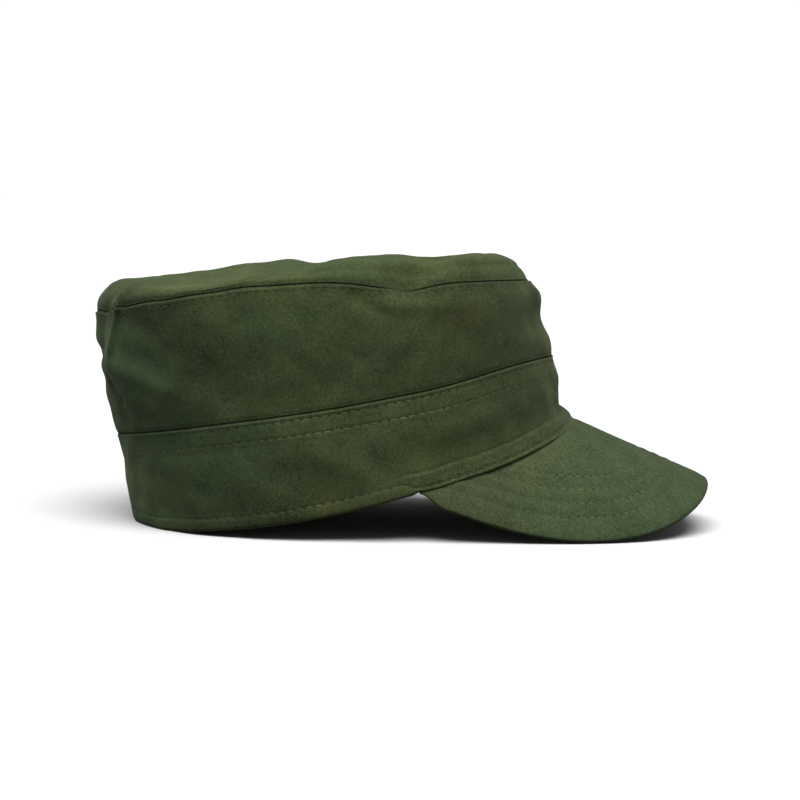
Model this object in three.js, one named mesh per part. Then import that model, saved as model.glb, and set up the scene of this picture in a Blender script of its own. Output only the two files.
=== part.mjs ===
// A soft field cap of olive cotton twill: a flat oval top, a tall side wall, a lower band with
// its hem, and a stiff curved peak. It lies on a table as it would by itself, on the back of
// its rim and on the two low sides of its peak.
// Millimetres. +Z is up, the peak points to -Y, and the wearer's right side faces -X.
import * as THREE from 'three';

// Cloth thicknesses, with the hem folded double and the peak stitched through several layers.
const WALL = { top: 1.4, side: 1.6, band: 2.4, hem: 3.0, peak: 3.2 };
const SEAM_GAP = 0.3;
const PEAK_GAP = 0.45;

// Turns rows of values under named columns into objects.
const table = (columns, rows) =>
  rows.map((row) => Object.fromEntries(columns.map((column, i) => [column, row[i]])));

// Ovals that the crown passes through, from the rim up to the middle of the top.
// The heights are read every 30 degrees, from the front past the side to the back.
const RINGS = table(
  ['name', 'frontY', 'backY', 'halfWidth', 'squareness', 'heights'],
  [
    ['rim', -83.5, 126.0, 84.5, 2.15, [46.0, 39.0, 26.4, 14.1, 5.0, 0.0, 0.0]],
    ['hem', -76.0, 127.5, 83.8, 2.15, [54.5, 47.5, 35.0, 21.5, 11.8, 6.5, 6.5]],
    ['bandMiddle', -74.5, 131.0, 84.6, 2.2, [68.0, 63.5, 52.0, 41.0, 32.0, 25.5, 23.0]],
    ['bandSeam', -71.0, 134.3, 84.0, 2.2, [80.9, 79.4, 69.0, 60.2, 52.6, 45.0, 40.5]],
    ['sideLow', -69.0, 139.8, 85.5, 2.2, [91.0, 92.0, 85.0, 79.0, 72.0, 64.0, 60.0]],
    ['sideHigh', -65.8, 144.4, 86.5, 2.25, [104.0, 105.5, 102.0, 99.0, 93.0, 84.5, 81.0]],
    ['topSeam', -59.0, 144.4, 84.5, 2.25, [115.4, 117.2, 117.0, 116.7, 111.3, 101.5, 97.7]],
    ['shoulder', -55.0, 140.5, 81.0, 2.3, [122.0, 123.4, 123.5, 121.5, 114.0, 106.5, 106.5]],
    ['ridge', -48.5, 131.0, 73.0, 2.3, [127.0, 128.6, 129.2, 125.0, 116.3, 111.5, 113.0]],
    ['flat', -15.0, 100.0, 45.0, 2.3, [124.0, 124.8, 125.0, 121.5, 118.0, 116.0, 116.5]],
    ['middle', 12.0, 70.0, 22.0, 2.1, [123.4, 123.2, 122.6, 121.6, 120.6, 119.9, 119.7]],
    ['centre', 40.0, 40.0, 0.0, 2.0, [121.5, 121.5, 121.5, 121.5, 121.5, 121.5, 121.5]],
  ],
);
const HEIGHT_STEP = 30;
const LEVEL = Object.fromEntries(RINGS.map((ring, level) => [ring.name, level]));

// Dents and folds of the soft crown. Each runs between two places on it, given as an angle
// (plus is the wearer's right) and a level (a ring's number, with fractions between rings),
// along the wall in several pieces or straight across in one.
// It moves the cloth by out, and up by lift, fading over width.
const FOLDS = table(
  ['name', 'fromAngle', 'fromLevel', 'toAngle', 'toLevel', 'pieces', 'width', 'out', 'lift'],
  [
    ['dip of the top seam', 60, 6.0, 67, 6.0, 1, 15, -1.2, -1.5],
    ['valley up from the dip', 60, 6.4, 44, 8.2, 3, 8, -1.6, -1.8],
    ['shelf under the dip', 67, 5.42, 49, 5.28, 4, 5, 1.2, 0.0],
    ['hollow under the dip', 71, 4.95, 54, 4.8, 3, 7, -0.9, 0.0],
    ['low far side of the top', -20, 8.0, -75, 8.0, 6, 26, 0.0, -5.0],
    ['far dip of the top', -36, 8.2, -52, 8.2, 1, 9, 0.0, -2.0],
    ['ripple across the top', 112, 7.7, -116, 7.9, 1, 8, 0.0, 1.4],
    ['trough before the ripple', 101, 8.2, -92, 7.9, 1, 9, 0.0, -3.8],
    ['front corner of the top', 16, 7.6, -12, 7.6, 3, 5, 0.0, -1.6],
    ['hollow behind the temple', 132, 5.4, 120, 3.7, 4, 9, -1.3, 0.0],
    ['furrow behind the temple', 140.5, 5.4, 132, 4.6, 4, 6, -1.0, 0.0],
    ['hollow behind the crease', 157, 6.3, 161, 5.1, 2, 5, -1.5, -0.9],
    ['bump under the crease', 157, 4.8, 137.5, 4.15, 4, 6, 1.7, 0.0],
    ['hollow under the back bulge', 196, 4.85, 167, 4.85, 4, 5, -2.8, 0.0],
    ['flat back of the band', 192, 2.4, 168, 2.4, 3, 11, -1.1, 0.0],
    ['full back of the top', 140, 6.9, 220, 6.9, 6, 9, 0.9, 1.2],
    ['far hollow behind the temple', -128, 4.8, -108, 4.2, 3, 15, -2.2, 0.0],
    ['far fold at the back', -166, 5.0, -142, 4.3, 3, 6, 1.6, 0.0],
    ['far fold at the temple', -70, 5.3, -35, 4.6, 3, 6, 1.2, 0.0],
    ['dent above the front seam', 20, 4.6, -18, 4.55, 5, 9, -2.3, 0.0],
    ['roll over the front of the peak', 30, 0.75, -30, 0.75, 6, 5, 1.0, 0.0],
  ],
);

// The peak is cut flat as a crescent and bent round a leaning cylinder.
const PEAK = {
  bendRadius: 90,
  pitch: THREE.MathUtils.degToRad(23),
  length: 68.8,
  halfWidth: 106.5,
  edgeRadius: 145,
  squareness: 2.77,
  cornerAngle: 69.5,
  sweep: 79,
  cornerSag: 2.2,
  sagStart: 38,
  sagEnd: 59,
  roundOff: 0.8,
  steps: 40,
};

const UP = new THREE.Vector3(0, 0, 1);

// A smooth curve through b and c at the fraction t between them.
const through = (a, b, c, d, t) =>
  0.5 * (2 * b + (c - a) * t + (2 * a - 5 * b + 4 * c - d) * t ** 2 + (3 * b - a - 3 * c + d) * t ** 3);

// The radius at an angle of an oval, from an ellipse (2) towards a rounded box (more).
function ovalRadius(cos, sin, halfLength, halfWidth, squareness) {
  const sum = Math.abs(cos / halfLength) ** squareness + Math.abs(sin / halfWidth) ** squareness;
  return sum ** (-1 / squareness);
}

function ringHeight(ring, angle) {
  const last = ring.heights.length - 1;
  const at = Math.abs(THREE.MathUtils.euclideanModulo(angle + 180, 360) - 180) / HEIGHT_STEP;
  const knot = (k) => ring.heights[k < 0 ? -k : k > last ? 2 * last - k : k];
  const low = Math.min(Math.floor(at), last - 1);
  const height = through(knot(low - 1), knot(low), knot(low + 1), knot(low + 2), at - low);
  return Math.max(height, 0);
}

// How far the bent peak drops below its ridge at a distance to the side.
const bendDrop = (aside) => PEAK.bendRadius - Math.sqrt(PEAK.bendRadius ** 2 - aside ** 2);

// The two soft corners hang a little below the cylinder, far behind the front seam.
const cornerSag = (ahead) =>
  PEAK.cornerSag * THREE.MathUtils.smoothstep(-ahead, PEAK.sagStart, PEAK.sagEnd);

// A point of the peak from its flat pattern: aside from the middle, ahead of the front seam.
function peakPoint(aside, ahead, lift, seamHeight) {
  const turn = aside / PEAK.bendRadius;
  const radius = PEAK.bendRadius + lift;
  const drop = PEAK.bendRadius - radius * Math.cos(turn);
  return new THREE.Vector3(
    -radius * Math.sin(turn),
    RINGS[LEVEL.rim].frontY - ahead * Math.cos(PEAK.pitch) + drop * Math.sin(PEAK.pitch),
    seamHeight - ahead * Math.sin(PEAK.pitch) - drop * Math.cos(PEAK.pitch) - cornerSag(ahead),
  );
}

// How far ahead of the front seam a point of the peak's top lies in the flat pattern.
function aheadOfSeam(aside, y) {
  const back = y - RINGS[LEVEL.rim].frontY - bendDrop(aside) * Math.sin(PEAK.pitch);
  return -back / Math.cos(PEAK.pitch);
}

// The outer edge of the flat pattern, drawn in by inset.
function peakEdge(sweep, inset) {
  const angle = THREE.MathUtils.degToRad(sweep);
  const cos = Math.cos(angle);
  const sin = Math.sin(angle);
  const length = PEAK.edgeRadius - inset;
  const radius = ovalRadius(cos, sin, length, PEAK.halfWidth - inset, PEAK.squareness);
  return [radius * sin, PEAK.length - PEAK.edgeRadius + radius * cos];
}

// How far round the peak its sections stand, from the wearer's right (1) to the left (-1).
const peakShares = Array.from({ length: PEAK.steps + 1 }, (_, i) => 1 - (2 * i) / PEAK.steps);

// Points across the thickness of the outer edge, from the top face to the underside.
function peakEdgePoints(share, seamHeight) {
  const rows = [[0, 1], [-0.35, 0], [-0.65, 0], [-1, 1]];
  return rows.map(([lift, inset]) => {
    const [aside, ahead] = peakEdge(share * PEAK.sweep, inset * PEAK.roundOff);
    return peakPoint(aside, ahead, lift * WALL.peak, seamHeight);
  });
}

// The front of the rim stands as high as the peak needs to just touch the table.
const FRONT_SEAM_HEIGHT = -Math.min(
  ...peakShares.flatMap((share) => peakEdgePoints(share, 0).map((point) => point.z)),
);

// The height of the foot of the cloth that lies on the peak, a gap square to its surface away.
function heightOnPeak(aside, y) {
  const rise = Math.tan(PEAK.pitch) * (y - RINGS[LEVEL.rim].frontY);
  const drop = bendDrop(aside) / Math.cos(PEAK.pitch) + cornerSag(aheadOfSeam(aside, y));
  const gap = PEAK_GAP / Math.cos(Math.asin(aside / PEAK.bendRadius));
  return FRONT_SEAM_HEIGHT + rise - drop + gap;
}

// The rim lies on the peak over its seam, and follows its own heights behind the corners.
function rimHeight(angle, aside, y) {
  const offFront = Math.abs(THREE.MathUtils.euclideanModulo(angle + 180, 360) - 180);
  const behind = THREE.MathUtils.smoothstep(offFront, PEAK.cornerAngle + 0.5, PEAK.cornerAngle + 6);
  const own = ringHeight(RINGS[LEVEL.rim], angle);
  if (behind === 1) return own;
  return THREE.MathUtils.lerp(heightOnPeak(aside, y), own, behind);
}

function ringPoint(level, angle, inset = 0) {
  const ring = RINGS[level];
  const cos = Math.cos(THREE.MathUtils.degToRad(angle));
  const sin = Math.sin(THREE.MathUtils.degToRad(angle));
  const halfLength = (ring.backY - ring.frontY) / 2 - inset;
  const middle = (ring.backY + ring.frontY) / 2;
  if (halfLength <= 0) return new THREE.Vector3(0, middle, ringHeight(ring, angle));
  const radius = ovalRadius(cos, sin, halfLength, ring.halfWidth - inset, ring.squareness);
  const aside = radius * sin;
  const y = middle - radius * cos;
  const z = level === LEVEL.rim ? rimHeight(angle, aside, y) : ringHeight(ring, angle);
  return new THREE.Vector3(-aside, y, z);
}

// The unfolded crown, smooth through all the rings.
function basePoint(angle, level) {
  const low = THREE.MathUtils.clamp(Math.floor(level), 0, LEVEL.centre - 1);
  const at = (step) => {
    const k = low + step;
    if (k > LEVEL.centre) return ringPoint(2 * LEVEL.centre - k, angle + 180);
    if (k >= 0) return ringPoint(k, angle);
    return ringPoint(0, angle).multiplyScalar(2).sub(ringPoint(1, angle));
  };
  const [a, b, c, d] = [at(-1), at(0), at(1), at(2)];
  const t = level - low;
  return new THREE.Vector3(
    through(a.x, b.x, c.x, d.x, t),
    through(a.y, b.y, c.y, d.y, t),
    through(a.z, b.z, c.z, d.z, t),
  );
}

// The outward direction, from two short steps along the cloth.
function outwardAt(angle, level) {
  if (level >= LEVEL.centre) return UP.clone();
  const step = { angle: 0.5, level: 0.02 };
  const lower = Math.max(level - step.level, 0);
  const upper = Math.min(level + step.level, LEVEL.centre - step.level);
  const along = basePoint(angle + step.angle, level).sub(basePoint(angle - step.angle, level));
  const rise = basePoint(angle, upper).sub(basePoint(angle, lower));
  return rise.cross(along).normalize();
}

// Each fold's line over the unfolded crown, as a few straight pieces.
const foldLines = FOLDS.map((fold) => {
  const points = [];
  for (let k = 0; k <= fold.pieces; k += 1) {
    const share = k / fold.pieces;
    const angle = THREE.MathUtils.lerp(fold.fromAngle, fold.toAngle, share);
    points.push(basePoint(angle, THREE.MathUtils.lerp(fold.fromLevel, fold.toLevel, share)));
  }
  const lines = points.slice(1).map((end, k) => new THREE.Line3(points[k], end));
  return { ...fold, lines };
});

// A point of the folded crown, at a depth below its outer face. The flared hem is as deep
// sideways, so that its inner face stays above the peak.
function crownPoint(angle, level, depth = 0) {
  const base = basePoint(angle, level);
  const outward = outwardAt(angle, level);
  const inward = outward.clone().negate();
  const sideways = inward.clone().setZ(0).normalize();
  inward.lerp(sideways, 1 - THREE.MathUtils.smoothstep(level, LEVEL.rim, LEVEL.bandMiddle)).normalize();
  const point = base.clone();
  const nearest = new THREE.Vector3();
  for (const fold of foldLines) {
    const gaps = fold.lines.map((line) => line.closestPointToPoint(base, true, nearest).distanceTo(base));
    const share = Math.exp(-((Math.min(...gaps) / fold.width) ** 2));
    point.addScaledVector(outward, share * fold.out).addScaledVector(UP, share * fold.lift);
  }
  return point.addScaledVector(inward, depth);
}

// The level that lies a short distance along the cloth from another level.
function levelBeside(angle, level, distance) {
  const step = 0.02 * Math.sign(distance);
  const perLevel = basePoint(angle, level + step).distanceTo(basePoint(angle, level)) / Math.abs(step);
  return level + distance / perLevel;
}

const SAME_POINT = 1e-6;

// A closed solid from loops of points, one loop for each place along a path. The second half
// of a loop comes back behind the first half, which closes the two ends of an open path.
function solidFromLoops(loops, wraps) {
  const size = loops[0].length;
  const points = loops.flat();
  const positions = points.flatMap((point) => [point.x, point.y, point.z]);
  const at = (i, j) => (i % loops.length) * size + (j % size);
  const same = (p, q) => points[p].distanceTo(points[q]) < SAME_POINT;
  const faces = [];
  const addFace = (...corners) => {
    const [p, q, r] = corners;
    if (!same(p, q) && !same(q, r) && !same(r, p)) faces.push(p, q, r);
  };
  for (let i = 0; i < loops.length - (wraps ? 0 : 1); i += 1) {
    for (let j = 0; j < size; j += 1) {
      addFace(at(i, j), at(i, j + 1), at(i + 1, j + 1));
      addFace(at(i, j), at(i + 1, j + 1), at(i + 1, j));
    }
  }
  if (!wraps) {
    const last = loops.length - 1;
    for (let j = 0; j < size / 2 - 1; j += 1) {
      const back = size - 1 - j;
      addFace(at(0, j), at(0, back), at(0, back - 1));
      addFace(at(0, j), at(0, back - 1), at(0, j + 1));
      addFace(at(last, j), at(last, back - 1), at(last, back));
      addFace(at(last, j), at(last, j + 1), at(last, back - 1));
    }
  }
  const geometry = new THREE.BufferGeometry();
  geometry.setAttribute('position', new THREE.Float32BufferAttribute(positions, 3));
  geometry.setIndex(faces);
  geometry.computeVertexNormals();
  return geometry;
}

const CROWN_STEPS = 72;

// A panel of the crown between two of its rings, with half a seam gap left at a shared seam.
function crownPanel(fromLevel, toLevel, rows, thicknessAt) {
  const loops = [];
  for (let i = 0; i < CROWN_STEPS; i += 1) {
    const angle = (360 * i) / CROWN_STEPS;
    const low = fromLevel === LEVEL.rim ? fromLevel : levelBeside(angle, fromLevel, SEAM_GAP / 2);
    const high = toLevel === LEVEL.centre ? toLevel : levelBeside(angle, toLevel, -SEAM_GAP / 2);
    const levels = Array.from({ length: rows + 1 }, (_, j) => THREE.MathUtils.lerp(low, high, j / rows));
    const outside = levels.map((level) => crownPoint(angle, level));
    const inside = levels.map((level) => crownPoint(angle, level, thicknessAt(level)));
    if (fromLevel === LEVEL.rim) inside[0] = ringPoint(LEVEL.rim, angle, WALL.hem);
    loops.push([...outside, ...inside.reverse()]);
  }
  return solidFromLoops(loops, true);
}

const hemToBand = (level) =>
  THREE.MathUtils.lerp(WALL.hem, WALL.band, THREE.MathUtils.smoothstep(level, LEVEL.hem, LEVEL.bandMiddle));

// The peak starts under the foot of the hem and ends in a slightly rounded edge.
function peakSolid() {
  const rows = 8;
  const loops = peakShares.map((share) => {
    const seam = ringPoint(LEVEL.rim, share * PEAK.cornerAngle, WALL.hem / 2);
    const seamAside = PEAK.bendRadius * Math.asin(-seam.x / PEAK.bendRadius);
    const seamAhead = aheadOfSeam(seam.x, seam.y);
    const [edgeAside, edgeAhead] = peakEdge(share * PEAK.sweep, PEAK.roundOff);
    const face = (lift) =>
      Array.from({ length: rows }, (_, j) => {
        const aside = THREE.MathUtils.lerp(seamAside, edgeAside, j / rows);
        const ahead = THREE.MathUtils.lerp(seamAhead, edgeAhead, j / rows);
        return peakPoint(aside, ahead, lift, FRONT_SEAM_HEIGHT);
      });
    return [...face(0), ...peakEdgePoints(share, FRONT_SEAM_HEIGHT), ...face(-WALL.peak).reverse()];
  });
  return solidFromLoops(loops, false);
}

function piece(name, geometry, color) {
  const material = new THREE.MeshStandardMaterial({ color, roughness: 0.92, metalness: 0 });
  const mesh = new THREE.Mesh(geometry, material);
  mesh.name = name;
  return mesh;
}

const cap = new THREE.Group();
cap.add(
  piece('crown_top', crownPanel(LEVEL.topSeam, LEVEL.centre, 10, () => WALL.top), 0x4d5a3b),
  piece('crown_side', crownPanel(LEVEL.bandSeam, LEVEL.topSeam, 9, () => WALL.side), 0x3a432a),
  piece('lower_band', crownPanel(LEVEL.rim, LEVEL.bandSeam, 7, hemToBand), 0x3a432b),
  piece('peak', peakSolid(), 0x4b583f),
);

export default cap;
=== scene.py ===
# %% [markdown]
# A soft field cap in olive cotton twill. It lies on a table as it would by itself: on the back of
# its rim and on the two low sides of its peak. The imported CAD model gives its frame, and this
# lesson replaces each of its plain cloth walls with a finely modelled panel: folds, seams that
# roll under, hems, rows of stitches and woven cloth.

# %% Load the frame
import math

import bmesh
import bpy
import numpy as np
from mathutils import Matrix, Vector, noise


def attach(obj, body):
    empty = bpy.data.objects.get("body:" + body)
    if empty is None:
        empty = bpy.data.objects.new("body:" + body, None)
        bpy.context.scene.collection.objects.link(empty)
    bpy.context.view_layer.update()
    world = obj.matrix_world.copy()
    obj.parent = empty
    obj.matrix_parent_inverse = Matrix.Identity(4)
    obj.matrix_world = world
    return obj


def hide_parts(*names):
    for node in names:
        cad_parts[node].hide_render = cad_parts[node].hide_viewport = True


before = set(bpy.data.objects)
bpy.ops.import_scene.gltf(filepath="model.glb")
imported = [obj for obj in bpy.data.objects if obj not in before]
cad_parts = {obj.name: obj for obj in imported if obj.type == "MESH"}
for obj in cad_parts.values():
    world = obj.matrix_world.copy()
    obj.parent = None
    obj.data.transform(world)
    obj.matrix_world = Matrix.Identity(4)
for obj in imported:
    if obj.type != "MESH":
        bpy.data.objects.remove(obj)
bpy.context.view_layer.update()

MM = 0.001
print("frame nodes", sorted(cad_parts))

# %% [markdown]
# The crown is a stack of ovals, from the rim up to the middle of the top. Each oval has a front
# and a back, a half width, a squareness (2 is an ellipse) and heights that are read every
# 30 degrees from the front past the side to the back. A cap could also be sculpted, but a table
# keeps the seams level with each other, and the panels on both sides of a seam share it.

# %% The ovals of the crown, in millimetres
RINGS = {
    "rim": (-83.5, 126.0, 84.5, 2.15, [46.0, 39.0, 26.4, 14.1, 5.0, 0.0, 0.0]),
    "hem": (-76.0, 127.5, 83.8, 2.15, [54.5, 47.5, 35.0, 21.5, 11.8, 6.5, 6.5]),
    "band_middle": (-74.5, 131.0, 84.6, 2.2, [68.0, 63.5, 52.0, 41.0, 32.0, 25.5, 23.0]),
    "band_seam": (-71.0, 134.3, 84.0, 2.2, [80.9, 79.4, 69.0, 60.2, 52.6, 45.0, 40.5]),
    "side_low": (-69.0, 139.8, 85.5, 2.2, [91.0, 92.0, 85.0, 79.0, 72.0, 64.0, 60.0]),
    "side_high": (-65.8, 144.4, 86.5, 2.25, [104.0, 105.5, 102.0, 99.0, 93.0, 84.5, 81.0]),
    "top_seam": (-59.0, 144.4, 84.5, 2.25, [115.4, 117.2, 117.0, 116.7, 111.3, 101.5, 97.7]),
    "shoulder": (-55.0, 140.5, 81.0, 2.3, [122.0, 123.4, 123.5, 121.5, 114.0, 106.5, 106.5]),
    "ridge": (-48.5, 131.0, 73.0, 2.3, [127.0, 128.6, 129.2, 125.0, 116.3, 111.5, 113.0]),
    "flat": (-15.0, 100.0, 45.0, 2.3, [124.0, 124.8, 125.0, 121.5, 118.0, 116.0, 116.5]),
    "middle": (12.0, 70.0, 22.0, 2.1, [123.4, 123.2, 122.6, 121.6, 120.6, 119.9, 119.7]),
    "centre": (40.0, 40.0, 0.0, 2.0, [121.5] * 7),
}
LEVEL = {name: level for level, name in enumerate(RINGS)}
OVALS = list(RINGS.values())
HEIGHT_STEP = 30
CLOTH = {"top": 1.4, "side": 1.6, "band": 2.4, "hem": 3.0, "peak": 3.2}
SEAM_GAP = 0.12
PEAK_GAP = 0.3
print(len(RINGS), "ovals, levels", LEVEL)

# %% [markdown]
# The peak is cut flat as a crescent and bent round a cylinder that leans forward. It could be
# pulled into shape by hand, but its flat pattern also says where each row of stitches runs, at a
# distance inside the outer edge. The corners of the real one sag a little below the bend.

# %% The flat pattern of the peak, in millimetres
PEAK_LENGTH = 68.8
PEAK_HALF_WIDTH = 106.5
PEAK_EDGE_RADIUS = 145.0
PEAK_SQUARENESS = 2.77
PEAK_CORNER = 69.5
PEAK_SWEEP = 79.0


def oval_radius(cos, sin, half_length, half_width, squareness):
    total = np.abs(cos / half_length) ** squareness + np.abs(sin / half_width) ** squareness
    return total ** (-1 / squareness)


def pattern_line(sweep, inset=0.0):
    """The outer edge, or a line inside it: distances aside and ahead of the front seam."""
    cos, sin = np.cos(np.radians(sweep)), np.sin(np.radians(sweep))
    length, width = PEAK_EDGE_RADIUS - inset, PEAK_HALF_WIDTH - inset
    radius = oval_radius(cos, sin, length, width, PEAK_SQUARENESS)
    return radius * sin, PEAK_LENGTH - PEAK_EDGE_RADIUS + radius * cos


edge_aside, edge_ahead = pattern_line(np.linspace(0, PEAK_SWEEP, 200))
print("peak pattern", round(2 * edge_aside.max()), "by", round(np.ptp(edge_ahead)), "mm")

# %% [markdown]
# The pattern then wraps round its cylinder. The height of the front seam is not a guess: it is
# the height at which the lowest edge of the peak just touches the table.

# %% The bend of the peak
BEND_RADIUS = 90.0
PEAK_PITCH = math.radians(23)
CORNER_SAG = 2.2
SAG_REACH = (38.0, 59.0)
FRONT_Y = RINGS["rim"][0]


def smooth_step(value, low, high):
    """From 0 at one value to 1 at another, along an S."""
    t = np.clip((value - low) / (high - low), 0, 1)
    return t * t * (3 - 2 * t)


def bend_drop(aside):
    return BEND_RADIUS - np.sqrt(BEND_RADIUS**2 - aside**2)


def corner_sag(ahead):
    """How far the two soft corners hang below the cylinder, far behind the front seam."""
    return CORNER_SAG * smooth_step(-ahead, *SAG_REACH)


def peak_points(aside, ahead, lift, seam_height):
    """Bends points of the flat pattern round the leaning cylinder."""
    turn = aside / BEND_RADIUS
    radius = BEND_RADIUS + lift
    drop = BEND_RADIUS - radius * np.cos(turn)
    y = FRONT_Y - ahead * math.cos(PEAK_PITCH) + drop * math.sin(PEAK_PITCH)
    z = seam_height - ahead * math.sin(PEAK_PITCH) - drop * math.cos(PEAK_PITCH) - corner_sag(ahead)
    return np.stack([-radius * np.sin(turn), y, z], -1)


def ahead_of_seam(aside, y):
    """How far ahead of the front seam a point of the peak's top lies in the flat pattern."""
    return (FRONT_Y + bend_drop(aside) * math.sin(PEAK_PITCH) - y) / math.cos(PEAK_PITCH)


FRONT_SEAM_HEIGHT = -peak_points(edge_aside, edge_ahead, -CLOTH["peak"], 0.0)[:, 2].min()
print("front seam", round(FRONT_SEAM_HEIGHT, 1), "mm above the table")

# %% [markdown]
# A smooth curve is laid through the heights of an oval, and another up through all the ovals, so
# any angle and level gives a point of the cloth. The rim follows the top of the peak over its
# seam and its own heights behind the corners of the peak.

# %% Points of one oval
RIM_LEAVES_PEAK = (PEAK_CORNER + 0.2, PEAK_CORNER + 1.8)


def through(a, b, c, d, t):
    """A smooth curve from b to c that heeds their neighbours a and d."""
    cubic = (3 * b - a - 3 * c + d) * t**3
    return 0.5 * (2 * b + (c - a) * t + (2 * a - 5 * b + 4 * c - d) * t**2 + cubic)


def ring_height(level, angle):
    heights = OVALS[level][4]
    around = np.array(heights + heights[-2:0:-1])
    place = (angle % 360) / HEIGHT_STEP
    low = np.floor(place).astype(int)
    knots = [around[(low + step) % len(around)] for step in (-1, 0, 1, 2)]
    return np.maximum(through(*knots, place - low), 0)


def ring_points(level, angle, inset=0.0):
    """Points of an oval at an array of angles, drawn in by an inset."""
    front, back, half_width, squareness, _ = OVALS[level]
    cos, sin = np.cos(np.radians(angle)), np.sin(np.radians(angle))
    half_length = (back - front) / 2 - inset
    if half_length <= 0:
        radius = 0 * angle
    else:
        radius = oval_radius(cos, sin, half_length, half_width - inset, squareness)
    aside, y = radius * sin, (back + front) / 2 - radius * cos
    z = ring_height(level, angle)
    if level == LEVEL["rim"]:
        off_front = np.abs((angle + 180) % 360 - 180)
        behind = smooth_step(off_front, *RIM_LEAVES_PEAK)
        lean = math.tan(PEAK_PITCH) * (y - FRONT_Y) - bend_drop(aside) / math.cos(PEAK_PITCH)
        lean -= corner_sag(ahead_of_seam(aside, y))
        gap = PEAK_GAP * BEND_RADIUS / np.sqrt(BEND_RADIUS**2 - aside**2)
        z = (1 - behind) * (FRONT_SEAM_HEIGHT + gap + lean) + behind * z
    return np.stack([-aside, y, z], -1)


rim = ring_points(LEVEL["rim"], np.linspace(0, 360, 361))
print("rim", np.ptp(rim, axis=0).round(1).tolist(), "mm wide, long and high")

# %% Points at any angle and level
ANGLE_STEP = 0.5
LEVEL_STEP = 0.02
LAST_LEVEL = LEVEL["centre"] - 0.03


def crown_base(angle, level):
    """The unfolded crown at arrays of angles and levels that have one shape."""
    top = LEVEL["centre"]
    rings = [ring_points(k, angle) for k in range(top + 1)]
    below_rim, past_centre = 2 * rings[0] - rings[1], ring_points(top - 1, angle + 180)
    rings = np.stack([below_rim, *rings, past_centre])
    low = np.clip(np.floor(level).astype(int), 0, top - 1)
    places = np.indices(low.shape)
    knots = [rings[(low + step, *places)] for step in (0, 1, 2, 3)]
    return through(*knots, (level - low)[..., None])


def crown_frame(angle, level):
    """Points of the unfolded crown and the directions out of its cloth."""
    level = np.minimum(level, LEVEL["centre"])
    inner = np.minimum(level, LAST_LEVEL)
    lower = np.maximum(inner - LEVEL_STEP, 0)
    along = crown_base(angle + ANGLE_STEP, inner) - crown_base(angle - ANGLE_STEP, inner)
    rise = crown_base(angle, inner + LEVEL_STEP) - crown_base(angle, lower)
    outward = np.cross(rise, along)
    outward /= np.linalg.norm(outward, axis=-1, keepdims=True)
    return crown_base(angle, level), outward


probe, _ = crown_frame(np.array([0.0, 90.0, 180.0]), np.full(3, float(LEVEL["top_seam"])))
print("top seam at front, right and back", probe.round(1).tolist())
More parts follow.
